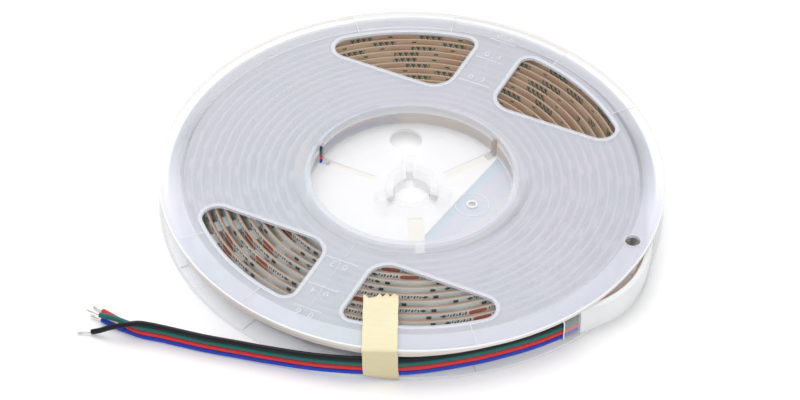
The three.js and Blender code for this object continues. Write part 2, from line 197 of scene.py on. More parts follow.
class Finish:
    """A material around one Principled shader."""

    def __init__(self, name, **shader):
        self.material = bpy.data.materials.new(name)
        self.material.use_nodes = True
        self.tree = self.material.node_tree
        self.shader = self.tree.nodes["Principled BSDF"]
        self.set(**shader)

    def set(self, **shader):
        for name, value in shader.items():
            plug(self.tree, self.shader.inputs[name.replace("_", " ").title().replace("Ior", "IOR")],
                 value)

    def node(self, kind, settings=(), **inputs):
        named = {name.replace("_", " ").title(): value for name, value in inputs.items()}
        return add_node(self.tree, kind, dict(settings), named)

    def mix(self, mask, first, second):
        settings = {"data_type": "RGBA"}
        node = add_node(self.tree, "ShaderNodeMix", settings, {0: mask, 6: first, 7: second})
        return node.outputs[2]

    def place(self):
        """X, Y and Z of the surface, in millimetres."""
        coordinates = self.node("ShaderNodeTexCoord").outputs["Object"]
        split = self.node("ShaderNodeSeparateXYZ", vector=coordinates)
        return [Signal(split.outputs[axis]) * 1000 for axis in range(3)]

    def along(self):
        """How far along a strip, in pitches of its circuit, and how far up its width."""
        split = self.node("ShaderNodeSeparateXYZ", vector=self.node("ShaderNodeUVMap").outputs[0])
        return Signal(split.outputs[0]), Signal(split.outputs[1])

    def noise(self, scale, detail=2.0, stretch=(1, 1, 1)):
        coordinates = self.node("ShaderNodeTexCoord").outputs["Object"]
        stretched = self.node("ShaderNodeMapping", vector=coordinates, scale=stretch).outputs[0]
        return Signal(self.node("ShaderNodeTexNoise", vector=stretched, scale=scale,
                                detail=detail).outputs["Fac"])

    def facing_up(self):
        """How nearly level the surface lies: 1 where it is level, 0 where it is upright."""
        normal = self.node("ShaderNodeTexCoord").outputs["Normal"]
        return abs(Signal(self.node("ShaderNodeSeparateXYZ", vector=normal).outputs[2]))

    def passing(self, alpha):
        """Opacity of frosted plastic, which scatters most of a lamp's light on to what lies below."""
        shadow = Signal(self.node("ShaderNodeLightPath").outputs["Is Shadow Ray"])
        return (1 - shadow * LIGHT_SCATTERED_ON) * alpha

    def bump(self, height, strength, distance):
        bump = self.node("ShaderNodeBump", strength=strength, distance=distance, height=height)
        self.set(normal=bump.outputs[0])


def reel_plastic(name, alpha, cool=(0.77, 0.835, 0.9), warm=(0.84, 0.835, 0.95)):
    """Frosted plastic: clearer in the hub's wall, and on the cover denser along the brim,
    cream down the edge, whiter at its top edge and outermost ring as a painted highlight, and greyed by
    painted shade in the rings beside the winding."""
    finish = Finish(name, roughness=0.34, specular_ior_level=0.45)
    x, y, z = finish.place()
    reach = x * x + y * y

    def ring(inner, outer=FLANGE_RADIUS + 1):
        return (reach > inner ** 2) * (reach < outer ** 2)

    on_cover = z > 12.4
    wall = ring(0, 38.5) * (z > 1.6) * (z < 12.4)
    side = ring(89.3) * z.near(12.3, 1.3)
    edge = ring(89.55) * (z > 13.6)
    brim = ring(82) * on_cover
    panel = ring(79.5, 88.5) * z.near(13.8, 0.06)
    cloud = finish.noise(28, 3)
    plain = finish.mix((cloud - 0.5) * 2.2 + 0.5, cool, warm)
    # Painted shade: the brim ring from 80.8 to 86 mm greys towards the back.
    painted_shade_behind = (y + 16) * 0.03 * ring(80.8, 86) * on_cover
    plain = finish.mix(painted_shade_behind, plain, (0.5, 0.515, 0.57))
    # Painted shade: a ring just outside the hub greys towards the front.
    painted_shade_before_hub = (-2 - y) * 0.055 * ring(38.4, 42.6) * on_cover
    plain = finish.mix(painted_shade_before_hub, plain, (0.63, 0.67, 0.735))
    # Painted highlight: the cover's outermost ring whitens towards the back and sides, not at the front.
    painted_highlight_outermost = (y * 0.03 + 0.9) * ring(86.6) * on_cover
    plain = finish.mix(painted_highlight_outermost, plain, (1.0, 1.0, 1.0))
    plain = finish.mix(side, plain, (0.82, 0.76, 0.7))
    # The top edge is a denser bead, and its whiter colour is a painted highlight; the hub's wall shares
    # that pale colour.
    finish.set(base_color=finish.mix(edge | wall, plain, (0.95, 0.96, 0.98)),
               alpha=finish.passing(alpha - wall * (alpha - 0.35) + brim * 0.13 + panel * 0.08
                                    + side * 0.3 + edge * 0.35))
    finish.bump(finish.noise(260, 2, (1, 1, 0.2)), 0.06, 0.0002)
    return finish.material


def frame_plastic():
    """The windows' raised edges: more opaque on their slopes, a painted highlight that shows them as
    bright lines, soft on top, clearer down their walls.
    """
    finish = Finish("frame_plastic", roughness=0.3, specular_ior_level=0.45)
    facing_up = finish.facing_up()
    wall = facing_up < UPRIGHT
    # Painted highlight: the slopes are made more opaque so that they show as bright lines.
    slope = facing_up.near(0.6, 0.25)
    finish.set(base_color=finish.mix(finish.noise(60, 2), (0.87, 0.89, 0.95), (0.94, 0.95, 0.99)),
               alpha=finish.passing(0.46 - wall * 0.16 + slope * 0.4))
    return finish.material


def mark_plastic(name, alpha):
    """Raised lines and figures, which catch the light."""
    finish = Finish(name, roughness=0.3, alpha=alpha)
    finish.set(base_color=finish.mix(finish.noise(90, 2), (0.95, 0.96, 0.98), (1.0, 1.0, 1.0)))
    return finish.material


def hub_plastic(name, alpha):
    """The web's plastic: nearly clear white, cream in the grooves, bluish on the recessed side."""
    finish = Finish(name, roughness=0.3)
    x, y, z = finish.place()
    past_edge = x * math.cos(RECESS_SIDE) + y * math.sin(RECESS_SIDE) - RECESS_EDGE
    streak = finish.noise(70, 2, (1, 0.4, 1))
    film = finish.node("ShaderNodeValToRGB", {"stops": [
        (0.0, (0.5, 0.6, 0.69)), (0.2, (0.58, 0.67, 0.76)), (0.36, (0.69, 0.66, 0.76)),
        (0.52, (0.64, 0.7, 0.8)), (0.75, (0.76, 0.75, 0.8)), (1.0, (0.82, 0.81, 0.8))]},
        fac=past_edge * 0.056 + streak * 0.3 - 0.15).outputs[0]
    wall = finish.facing_up() < UPRIGHT
    recess = (past_edge > 0) * z.near(RECESS_FLOOR, 0.04)
    groove = z.near(GROOVE_FLOOR, 0.04)
    surface = finish.mix(recess, (0.915, 0.915, 0.93), film)
    finish.set(base_color=finish.mix(groove, surface, (0.89, 0.86, 0.8)),
               alpha=finish.passing((recess | groove) * 0.1 + alpha - wall * (alpha - 0.1)))
    finish.bump(finish.noise(300, 2), 0.05, 0.0002)
    return finish.material


def board_print():
    """White circuit board: copper pads at each cut, small dark marks and faint traces."""
    finish = Finish("board_print", roughness=0.42)
    run, width = finish.along()
    cell = run.fraction()
    row = (width * 4).fraction()
    to_cut = abs(cell - 0.5)
    traces = ((width * 9).fraction() < 0.7) * (to_cut < 0.28)
    ground = finish.mix(finish.noise(120, 2), (0.92, 0.97, 1.0), (0.85, 0.94, 0.98))
    ground = finish.mix(traces * 0.35, ground, (0.66, 0.8, 0.8))
    beside_cut, across = (0.5 - to_cut) / 0.065, (row - 0.5) / 0.37
    beside_cut, across = beside_cut * beside_cut, across * across
    pad = (beside_cut * beside_cut + across * across) < 1
    copper = finish.mix(finish.noise(2600, 2), (0.4, 0.09, 0.03), (0.55, 0.16, 0.065))
    strokes = ((cell * 48 + row * 0.4).fraction() < 0.62) * ((cell * 23 + row).fraction() > 0.2)
    strokes = to_cut.near(0.355, 0.066) * row.near(0.55, 0.26) * strokes
    dot = (abs((to_cut - 0.262) * 14) + abs(row - 0.5) * 1.3) < 0.36
    surface = finish.mix(pad, ground, copper)
    surface = finish.mix((strokes | dot) * 0.96, surface, (0.008, 0.008, 0.01))
    finish.set(base_color=finish.mix(width > CUT_EDGE, surface, (0.42, 0.32, 0.26)))
    finish.bump(pad + traces * 0.3, 0.2, 0.0001)
    return finish.material


def liner_print():
    """Tan release liner, brown along its cut edge, with groups of plain slanted green bars."""
    finish = Finish("liner_print", roughness=0.5, specular_ior_level=0.3)
    run, width = finish.along()
    place_in_group = (run * 1.9).fraction()
    group = place_in_group.near(0.3, 0.17) * (finish.noise(14, 1) > 0.44)
    stroke = (run * 23 + width * 2.4).fraction()
    notch = width.near(0.83, 0.05) * stroke.near(0.5, 0.12)
    bars = (stroke < 0.74) * (1 - notch) * group * width.near(0.83, 0.13)
    small = place_in_group.near(0.72, 0.03) * width.near(0.9, 0.035)
    fibre = finish.noise(900, 3)
    tan = finish.mix(fibre, (0.62, 0.4, 0.24), (0.74, 0.5, 0.32))
    printed = finish.mix((bars | small) * 0.95, tan, (0.008, 0.075, 0.045))
    finish.set(base_color=finish.mix(width > CUT_EDGE, printed, (0.38, 0.21, 0.14)))
    finish.bump(fibre, 0.1, 0.0001)
    return finish.material


def clear_film(name, tint):
    """A clear plastic's finish and its haze, from which each kind works out its opacity."""
    finish = Finish(name, roughness=0.12, specular_ior_level=0.5, coat_weight=0.2)
    haze = finish.noise(60, 2)
    finish.set(base_color=finish.mix(haze, tint, (1.0, 1.0, 1.0)))
    finish.bump(finish.noise(400, 2), 0.08, 0.0001)
    return finish, haze


def strip_silicone():
    """Clear silicone, clearer along its cut edge and milky over the strip's loose outer end."""
    finish, haze = clear_film("clear_silicone", (0.93, 0.96, 1.0))
    run, width = finish.along()
    loose_end = run > LAST_CIRCUIT - 1.7
    cut_edge = width > CUT_EDGE
    finish.set(alpha=loose_end * 0.8 + (1 - cut_edge * 0.6) * (haze * 0.06 + 0.015))
    return finish.material


def shrink_film():
    """The clear tube over the wires' joint."""
    finish, haze = clear_film("sleeve_film", (0.9, 0.93, 0.95))
    finish.set(alpha=haze * 0.1 + 0.1)
    return finish.material


def insulation(name, colour, lighter):
    """A wire's plastic skin, a little rubbed."""
    finish = Finish(name, specular_ior_level=0.25)
    rub = finish.noise(500, 3)
    finish.set(base_color=finish.mix(rub, colour, lighter), roughness=rub * 0.15 + 0.26)
    finish.bump(rub, 0.05, 0.0001)
    return finish.material


def tinned_copper():
    """Bright tin over the bare strands."""
    finish = Finish("tinned_copper", metallic=0.9)
    grain = finish.noise(3000, 2)
    finish.set(base_color=finish.mix(grain, (0.55, 0.54, 0.52), (0.8, 0.79, 0.77)),
               roughness=grain * 0.2 + 0.25)
    return finish.material


def crepe_paper():
    """Masking tape: fine crepe ridges across its length, and painted shade darkening it where it hangs
    over the rim.
    """
    finish = Finish("crepe_paper", roughness=0.8)
    ridges = finish.noise(700, 3, (0.35, 1.6, 1.6))
    mottle = finish.noise(180, 3)
    x, y, z = finish.place()
    # Painted shade: the part hanging below the cover's top is darkened.
    hanging = z < HEIGHT - 0.4
    paper = finish.mix(ridges * 0.6 + mottle * 0.4, (0.8, 0.71, 0.43), (0.9, 0.84, 0.62))
    finish.set(base_color=finish.mix(hanging * 0.45, paper, (0.6, 0.5, 0.28)))
    finish.bump(ridges, 0.35, 0.0003)
    return finish.material


def lamp_body(name, colour, rough):
    """A moulded case, gel or resistor body, with a fine grain."""
    finish = Finish(name, roughness=rough)
    grain = finish.noise(2000, 2)
    finish.set(base_color=finish.mix(grain, colour, tuple(min(1, c * 1.15) for c in colour)))
    return finish.material


cover_plastic = reel_plastic("cover_plastic", 0.42)
base_plastic = reel_plastic("base_plastic", 0.24, (0.93, 0.95, 0.98), (0.96, 0.96, 0.99))
edge_plastic = frame_plastic()
line_plastic = mark_plastic("line_plastic", 0.85)
fine_plastic = mark_plastic("fine_mark_plastic", 0.5)
faint_plastic = mark_plastic("faint_mark_plastic", 0.22)
floor_plastic = hub_plastic("floor_plastic", 0.62)
boss_plastic = hub_plastic("boss_plastic", 0.16)
board_finish = board_print()
liner_finish = liner_print()
silicone = strip_silicone()
sleeve_film = shrink_film()
wire_finishes = {
    "blue": insulation("blue_insulation", (0.012, 0.04, 0.42), (0.03, 0.075, 0.55)),
    "red": insulation("red_insulation", (0.6, 0.02, 0.03), (0.75, 0.05, 0.05)),
    "green": insulation("green_insulation", (0.01, 0.12, 0.105), (0.018, 0.165, 0.145)),
    "black": insulation("black_insulation", (0.003, 0.003, 0.005), (0.012, 0.012, 0.017)),
}
strands_finish = tinned_copper()
tape_finish = crepe_paper()
# Painted shade: the lamps' white cases and cream gel are darkened to grey to sit in the shade between the
# turns.
lamp_grey_painted_shade = lamp_body("lamp_grey_painted_shade", (0.39, 0.42, 0.43), 0.4)
gel_grey_painted_shade = lamp_body("lamp_gel", (0.46, 0.45, 0.4), 0.25)
resistor_black = lamp_body("resistor_black", (0.015, 0.015, 0.018), 0.35)


# Forms, drawn in millimetres

def mesh_of(name, points, faces):
    mesh = bpy.data.meshes.new(name)
    mesh.from_pydata([tuple(c * MM for c in p) for p in points], [], faces)
    return mesh


def add_piece(name, points, faces, finish, replaced=(), slot=None, uv=None, smooth=40):
    """A visible piece from points and faces, on the reel's one body."""
    mesh = mesh_of(name, points, faces)
    mesh.validate()
    if uv:
        layer = mesh.uv_layers.new(name="run")
        for loop in mesh.loops:
            layer.data[loop.index].uv = uv[loop.vertex_index]
    piece = bpy.data.objects.new(name, mesh)
    bpy.context.collection.objects.link(piece)
    return dress(piece, finish, replaced, slot, smooth)


def dress(piece, finish, replaced=(), slot=None, smooth=40):
    """Gives a piece its finish, its smooth faces and its place in the part."""
    if finish:
        piece.data.materials.clear()
        piece.data.materials.append(finish)
    if smooth and piece.type == "MESH":
        piece.data.shade_smooth()
        piece.data.set_sharp_from_angle(angle=math.radians(smooth))
    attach(piece, "root")
    if replaced:
        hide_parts(*replaced)
    return piece


def loft(loops, closed=False):
    """Faces between loops of equal length; closed joins the last loop to the first."""
    count = len(loops[0])
    points = [p for ring in loops for p in ring]
    faces = []
    rows = len(loops) if closed else len(loops) - 1
    for row in range(rows):
        below, above = row * count, (row + 1) % len(loops) * count
        for i in range(count):
            j = (i + 1) % count
            faces.append((below + i, below + j, above + j, above + i))
    if not closed:
        faces.append(tuple(reversed(range(count))))
        faces.append(tuple(range(len(points) - count, len(points))))
    return points, faces


def joined(*solids):
    """Points and faces of several solids as one."""
    points, faces = [], []
    for more_points, more_faces in solids:
        start = len(points)
        points += more_points
        faces += [tuple(i + start for i in face) for face in more_faces]
    return points, faces


def circle(radius, z, steps=240, centre=(0, 0)):
    return [(*polar(radius, 2 * math.pi * i / steps, centre), z) for i in range(steps)]


def revolved(section, steps=240):
    return loft([circle(radius, z, steps) for radius, z in section], closed=True)


def prism(outline, bottom, top):
    return loft([[(x, y, z) for x, y in outline] for z in (bottom, top)])


def bar(angle, start, end, width, bottom, top):
    """A block along a ray from the axis."""
    c, s = math.cos(angle), math.sin(angle)
    corners = [(start, -width / 2), (end, -width / 2), (end, width / 2), (start, width / 2)]
    return prism([(x * c - y * s, x * s + y * c) for x, y in corners], bottom, top)


def scratch(solid):
    """A solid with its faces turned outwards, ready to be cut or to cut."""
    mesh = mesh_of("cutter", *solid)
    form = bmesh.new()
    form.from_mesh(mesh)
    bmesh.ops.recalc_face_normals(form, faces=form.faces)
    form.to_mesh(mesh)
    form.free()
    cutter = bpy.data.objects.new("cutter", mesh)
    bpy.context.collection.objects.link(cutter)
    return cutter


def taken(*solids):
    return [("DIFFERENCE", solid) for solid in solids]


def added(*solids):
    return [("UNION", solid) for solid in solids]


def carved(name, solid, changes, finish, **how):
    """A solid with others taken from it or added to it, in order."""
    piece = scratch(solid)
    piece.name = name
    for operation, other in changes:
        tool = scratch(other)
        change = piece.modifiers.new("cut", "BOOLEAN")
        change.operation = operation
        change.object = tool
        change.solver = "EXACT"
        shape = bpy.data.meshes.new_from_object(
            piece.evaluated_get(bpy.context.evaluated_depsgraph_get()))
        piece.modifiers.clear()
        piece.data = shape
        bpy.data.objects.remove(tool)
    piece.data.name = name
    return dress(piece, finish, **how)


# Reel

def from_top(z):
    return HEIGHT - z


def from_bottom(z):
    return z


def window(offset, z):
    """A window's outline beside the spoke along +X, widened by offset."""
    hub, tip, rim = 7.5 + offset, 5.6 + offset, 4 + offset
    side, edge, reach = 9.4 - offset, 46.2 - offset, 77.8 + offset
    hub_centre = (edge + hub, side + hub)
    tip_centre = (edge + tip, math.sqrt((reach - tip) ** 2 - (edge + tip) ** 2))
    rim_centre = (math.sqrt((reach - rim) ** 2 - (side + rim) ** 2), side + rim)
    tip_angle = math.atan2(tip_centre[1], tip_centre[0])
    rim_angle = math.atan2(rim_centre[1], rim_centre[0])

    def swept(centre, radius, start, end, steps):
        return [(*polar(radius, start + (end - start) * i / steps, centre), z) for i in range(steps + 1)]

    return (swept(hub_centre, hub, 1.5 * math.pi, math.pi, 10)
            + swept(tip_centre, tip, math.pi, tip_angle, 12)
            + swept((0, 0), reach, tip_angle, rim_angle, 36)[1:-1]
            + swept(rim_centre, rim, rim_angle, -0.5 * math.pi, 12))


def panel(inset, z):
    """A raised panel between window and rim, drawn in by inset."""
    inner, outer = PANEL_INNER + inset, PANEL_OUTER - inset
    start, end = PANEL_START + inset / PANEL_MIDDLE, PANEL_END - inset / PANEL_MIDDLE
    angles = [start + (end - start) * i / 24 for i in range(25)]
    return ([(*polar(outer, a), z) for a in angles] + [(*polar(inner, a), z) for a in reversed(angles)])


def panel_end_highlight(start, z):
    """A thin white sliver where a panel ends, from an angle beside the spoke: a painted highlight on the
    panel's end.
    """
    end = start + PANEL_EDGE
    return [(*polar(r, a), z) for r, a in ((PANEL_INNER, start), (PANEL_OUTER, start),
                                           (PANEL_OUTER, end), (PANEL_INNER, end))]


def placed(loop, mirror, turn, lift):
    """A loop drawn beside the spoke along +X, put on one side of one spoke of a flange."""
    c, s = math.cos(SPOKE + turn), math.sin(SPOKE + turn)
    return [(x * c - mirror * y * s, x * s + mirror * y * c, lift(z)) for x, y, z in loop]


PLACES = [(mirror, turn) for mirror in (1, -1) for turn in (0, math.pi)]
THROUGH_FLANGE = (-1, 2.5)
PANEL_EDGE = math.radians(0.22)
FRAME_SECTION = [(0, 1.35), (0, 0.25), (0.12, 0.07), (0.35, 0), (1.1, 0), (1.35, 0.07), (1.5, 0.25),
                 (1.5, 0.6), (1.0, 1.5), (0.15, 1.5)]


def flange(name, lift, wall, slits, node, plastic):
    """One flange; heights are drawn from its outer face inwards, and lift puts them in place."""
    collar, inside_rim = HUB_RADIUS + 2.4, PANEL_OUTER - 0.25
    profile = [
        (HUB_RADIUS, 0.25), (HUB_RADIUS + 0.25, 0), (collar - 0.25, 0), (collar, 0.2), (collar, FACE),
        (inside_rim, FACE), (inside_rim, 0.2), (PANEL_OUTER, 0), (FLANGE_RADIUS - 0.4, 0),
        (FLANGE_RADIUS - 0.1, 0.12), (FLANGE_RADIUS, 0.4), (FLANGE_RADIUS, 1.3),
        (FLANGE_RADIUS - 0.2, 1.5)]
    body = revolved([(r, lift(z)) for r, z in profile + wall])
    windows = [loft([placed(window(0.4, z), *place, lift) for z in THROUGH_FLANGE]) for place in PLACES]
    panels = [loft([placed(panel(inset, z), *place, lift)
                    for inset, z in ((0, 0.7), (0, 0.3), (0.15, 0.2))]) for place in PLACES]
    tie_hole = loft([circle(TIE_HOLE_RADIUS, lift(z), 48, TIE_HOLE) for z in THROUGH_FLANGE])
    how = {"replaced": (node,), "slot": "frosted_plastic"}
    changes = taken(*windows) + added(*panels) + taken(tie_hole, *slits)
    carved(f"{name}_disc", body, changes, plastic, **how)
    frames = [loft([placed(window(offset, z), *place, lift) for offset, z in FRAME_SECTION], closed=True)
              for place in PLACES]
    add_piece(f"{name}_window_frames", *joined(*frames), edge_plastic, **how)
    around_hole = [(TIE_HOLE_RADIUS, 0.4), (TIE_HOLE_RADIUS, 0.2), (TIE_HOLE_RADIUS + 0.4, 0.2),
                   (TIE_HOLE_RADIUS + 0.4, 0.4)]
    rim = loft([circle(r, lift(z), 48, TIE_HOLE) for r, z in around_hole], closed=True)
    add_piece(f"{name}_hole_rim", *rim, fine_plastic, **how)
    # White slivers at the panels' ends, a painted highlight.
    ends = [loft([placed(panel_end_highlight(start, z), *place, lift) for z in (0.6, 0.12)])
            for place in PLACES for start in (PANEL_START, PANEL_END - math.radians(0.2))]
    add_piece(f"{name}_pad_end_highlights", *joined(*ends), fine_plastic, **how)
    return how


# Each spoke's side, turn from the first, line aside of its middle, radii of ticks, start of its line
SCALES = [("back", 0, 1.0, (54.2, 68.6, 80.2), 43), ("front", math.pi, -1.6, (52.1, 66.7, 78.2), 41)]


def tick(turn, start, end, lowest, highest):
    """A raised line, from radius start to end at distances lowest to highest across the spoke."""
    outline = [(start, lowest), (end, lowest), (end, highest), (start, highest)]
    return loft([placed([(x, y, z) for x, y in outline], 1, turn, from_top) for z in (0.5, 0.28)])


def figure(text, turn, reach, aside, height):
    """Raised figures beside a tick, read from the flange's edge inwards."""
    curve = bpy.data.curves.new("figure", "FONT")
    curve.body = text
    curve.size = 3.9 * MM
    curve.space_character = 1.5
    curve.align_x = "CENTER"
    curve.align_y = "CENTER"
    curve.offset = -0.05 * MM
    curve.extrude = 0.09 * MM
    curve.resolution_u = 4
    letters = bpy.data.objects.new("figure", curve)
    mesh = bpy.data.meshes.new_from_object(letters)
    bpy.data.objects.remove(letters)
    angle = SPOKE + turn
    place = Matrix.Rotation(angle, 4, "Z") @ Matrix.Translation((reach * MM, aside * MM, height * MM))
    mesh.transform(place @ Matrix.Rotation(-math.pi / 2, 4, "Z"))
    return mesh


def spoke_scale(how):
    """Thin line along each spoke, with three ticks and plain figures."""
    lines, ticks = [], []
    for side, turn, aside, reaches, start in SCALES:
        lines.append(tick(turn, start, reaches[-1], aside - 0.1, aside + 0.1))
        for reach, half, text in zip(reaches, (6.2, 5.6, 5.2), ("0.2", "0.4", "0.6")):
            ticks.append(tick(turn, reach - 0.17, reach + 0.17, aside - half, aside + half))
            mesh = figure(text, turn, reach + 2.6, aside, from_top(0.36))
            figures = bpy.data.objects.new(f"figures_{text[-1]}_{side}", mesh)
            bpy.context.collection.objects.link(figures)
            dress(figures, fine_plastic, smooth=0, **how)
    add_piece("spoke_lines", *joined(*lines), faint_plastic, **how)
    add_piece("spoke_ticks", *joined(*ticks), fine_plastic, **how)


def slits_through(bottom, top):
    return [bar(slit, HUB_RADIUS - 1, HUB_OUTER + 1, SLIT_WIDTH, bottom, top) for slit in SLITS]


cover = flange("cover", from_top, [(36.9, 1.5), (36.9, 3.9), (HUB_RADIUS, 3.9)],
               slits_through(9, 12.5), "reel_cover", cover_plastic)
spoke_scale(cover)
base = flange("base", from_bottom, [(HUB_OUTER, 1.5), (HUB_OUTER, 12.2), (37.2, 12.2), (37.2, 9.8),
                                    (HUB_RADIUS, 9.8)],
              slits_through(1.5, 13.5), "reel_base", base_plastic)


def rim_lip():
    """The lip below the cover's rim, full over most of its length and sloped at one end."""
    start, end, slope = math.radians(211), math.radians(288), math.radians(18)
    steps = 48

    def run(turn):
        loops = []
        for i in range(steps + 1):
            angle = start + (end - start) * i / steps
            bottom = 12.5 - 1.6 * min(1, max(0.05, (end - angle) / slope))
            section = [(89.25, 13.2), (89.25, bottom), (89.75, bottom), (89.95, bottom + 0.2),
                       (89.95, 13.2)]
            loops.append([(*polar(r, angle + turn), z) for r, z in section])
        return loft(loops)
    add_piece("cover_lip", *joined(run(0), run(math.pi)), cover_plastic, **cover)


def hub_floor():
    """The web across the hub, with its grooves, slit feet, holes and recessed side."""
    below, above = 2, 7
    half = math.acos(RECESS_EDGE / RECESS_RADIUS)
    recess = [polar(RECESS_RADIUS, RECESS_SIDE - half + half * 2 * i / 40) for i in range(41)]
    cuts = [bar(lobe, 0, KEYWAY_REACH, KEYWAY_WIDTH, below, above) for lobe in LOBES]
    cuts.append(loft([circle(BORE_RADIUS, z, 64) for z in (below, above)]))
    for slit, groove_width in zip(SLITS, (3.6, 2.5, 5.5)):
        cuts.append(bar(slit, 14.5, 34.5, groove_width, GROOVE_FLOOR, above))
        cuts.append(bar(slit, 32.6, 37.3, SLIT_WIDTH, below, above))
    for radius, centre in ((PEG_HOLE_RADIUS, PEG_HOLE), (PIN_HOLE_RADIUS, PIN_HOLE)):
        cuts.append(loft([circle(radius, z, 64, centre) for z in (below, above)]))
    cuts.append(prism(recess, RECESS_FLOOR, above))
    plate = loft([circle(HUB_RADIUS + 0.6, z, 160) for z in (WEB_BOTTOM, WEB_TOP)])
    carved("hub_floor", plate, taken(*cuts), floor_plastic, **base)


def arbor_boss():
    """The keyed tube that takes the arbor, with a lobe round each keyway."""
    below, above = -1, 10
    tube = loft([circle(BOSS_RADIUS, FACE, 96), circle(BOSS_RADIUS, BOSS_TOP - 0.2, 96),
                 circle(BOSS_RADIUS - 0.2, BOSS_TOP, 96)])
    lobes = [bar(lobe, 1, 14.5, 5.2, FACE + 0.01, BOSS_TOP - 0.02) for lobe in LOBES]
    keyways = [bar(lobe, 0, KEYWAY_REACH, KEYWAY_WIDTH, below, above) for lobe in LOBES]
    bore = loft([circle(BORE_RADIUS, z, 96) for z in (below, above)])
    carved("arbor_boss", tube, added(*lobes) + taken(*keyways, bore), boss_plastic, **base)


def pin_rings():
    """A raised rim round the small hole, with a fine ring further out."""
    foot = RECESS_FLOOR - 0.2
    rings = []
    for inner, outer, top in ((PIN_HOLE_RADIUS, 2.0, 4.75), (5.9, 6.1, 4.4)):
        section = [(inner, foot), (outer, foot), (outer, top), (inner, top)]
        rings.append(loft([circle(r, z, 64, PIN_HOLE) for r, z in section], closed=True))
    add_piece("pin_rings", *joined(*rings), line_plastic, **base)


rim_lip()
hub_floor()
arbor_boss()
pin_rings()


# Strip

WINDING_START, WINDING_END = math.radians(97), math.radians(-49.5)
SWEEP = WINDING_START - WINDING_END + 13 * 2 * math.pi
PITCH = 3.3
LOOSE_SWEEP = math.radians(46)


def spiral_radius(swept):
    """The winding's inner radius; over its last stretch it lifts and bows out of the reel."""
    to_end = min(1, (SWEEP - swept) / LOOSE_SWEEP)
    lift = 3.8 * (1 - to_end) ** 2 * (1 + 2 * to_end)
    bow = 5.2 * math.sin(math.pi * max(0, to_end) ** 0.7) ** 2
    return HUB_OUTER + 0.6 + PITCH * swept / (2 * math.pi) + lift + bow


def stations(steps_per_turn):
    """Along the winding: angle, radius of the inner face and distance run."""
    count = round(SWEEP / (2 * math.pi) * steps_per_turn)
    rows, run, last = [], 0, None
    for i in range(count + 1):
        swept = SWEEP * i / count
        angle, radius = WINDING_START - swept, spiral_radius(swept)
        here = polar(radius, angle)
        run += math.dist(last, here) if last else 0
        last = here
        rows.append((angle, radius, run))
    return rows


WINDING = stations(140)


def wound(name, section, finish, node, slot):
    """A layer of the strip: a closed section of offset and height, carried along the winding."""
    loops = [[(*polar(radius + offset, angle), z) for offset, z in section]
             for angle, radius, run in WINDING]
    points, faces = loft(loops)
    end = WINDING[-1][2]
    uv = [((run - end) / CIRCUIT + LAST_CIRCUIT, (z - STRIP_BOTTOM) / (STRIP_TOP - STRIP_BOTTOM))
          for _, _, run in WINDING for _, z in section]
    return add_piece(name, points, faces, finish, (node,), slot, uv)


wound("liner", [(0, STRIP_BOTTOM), (0, 6.5), (0, 11.72), (0.02, STRIP_TOP), (0.28, STRIP_TOP), (0.3, 11.9),
                (0.3, STRIP_BOTTOM)], liner_finish, "strip_liner", "release_liner")
wound("board", [(0.4, STRIP_BOTTOM), (0.4, 11.98), (0.42, STRIP_TOP), (0.78, STRIP_TOP), (0.8, 11.86),
                (0.8, 2.14), (0.78, STRIP_BOTTOM)], board_finish, "strip_board", "circuit_board")
wound("cover_silicone", [(0.9, 1.85), (0.9, 12.15), (1.1, 12.2), (2.3, 12.2), (2.75, 12.02),
                         (3.0, 11.5), (3.0, 2.5), (2.75, 1.98), (2.3, 1.8), (1.1, 1.8)],
      silicone, "strip_silicone", "clear_silicone")


def at_run(distance):
    """The winding's angle and inner radius at a distance along it."""
    low, high = 0, len(WINDING) - 1
    while high - low > 1:
        middle = (low + high) // 2
        low, high = (middle, high) if WINDING[middle][2] <= distance else (low, middle)
    a, b = WINDING[low], WINDING[high]
    share = (distance - a[2]) / (b[2] - a[2])
    return a[0] + (b[0] - a[0]) * share, a[1] + (b[1] - a[1]) * share


def on_board(distance, z, outlines):
    """A small solid on the board's face, through outlines at heights above the face."""
    angle, radius = at_run(distance)
    out = Vector((math.cos(angle), math.sin(angle)))
    way = Vector((math.sin(angle), -math.cos(angle)))
    foot = out * (radius + 0.82)
    return loft([[(*(foot + out * lift + way * along), z + up) for along, up in outline]
                 for lift, outline in outlines])


def chip(distance, z, length, height, rise, inset):
    """A block narrower at its top."""
    def outline(trim):
        x, y = length / 2 - trim, height / 2 - trim
        return [(-x, -y), (x, -y), (x, y), (-x, y)]
    return on_board(distance, z, [(0, outline(0)), (rise * 0.85, outline(0)), (rise, outline(inset))])


def dome(distance, z, radius, foot, rise):
    """A low round cap, such as the gel in a lamp."""
    turns = [2 * math.pi * i / 14 for i in range(14)]
    return on_board(distance, z, [(foot, [polar(radius, t) for t in turns]),
                                  (foot + rise, [polar(radius * 0.85, t) for t in turns])])


def fitted_strip():
    """Three lamps with gel and three resistors on each circuit, counted from the loose end."""
    length = WINDING[-1][2]
    lamp_size, lamp_rise, lamp_middle = 5, 1.5, 6.9
    lamps, gels, resistors = [], [], []
    for k in range(int(length / CIRCUIT)):
        cut = length - k * CIRCUIT
        for share in (1 / 6, 3 / 6, 5 / 6):
            run = cut - share * CIRCUIT
            lamps.append(chip(run, lamp_middle, lamp_size, lamp_size, lamp_rise, 0.25))
            gels.append(dome(run, lamp_middle, 1.85, lamp_rise, 0.06))
        for share, z in ((0.31, 10.9), (0.64, 3.1), (0.66, 10.9)):
            resistors.append(chip(cut - share * CIRCUIT, z, 1.6, 0.85, 0.5, 0.08))
    add_piece("lamps", *joined(*lamps), lamp_grey_painted_shade, slot="circuit_board", smooth=20)
    add_piece("lamp_gels", *joined(*gels), gel_grey_painted_shade, slot="circuit_board", smooth=20)
    add_piece("resistors", *joined(*resistors), resistor_black, slot="black_insulation", smooth=20)


fitted_strip()


# Wires

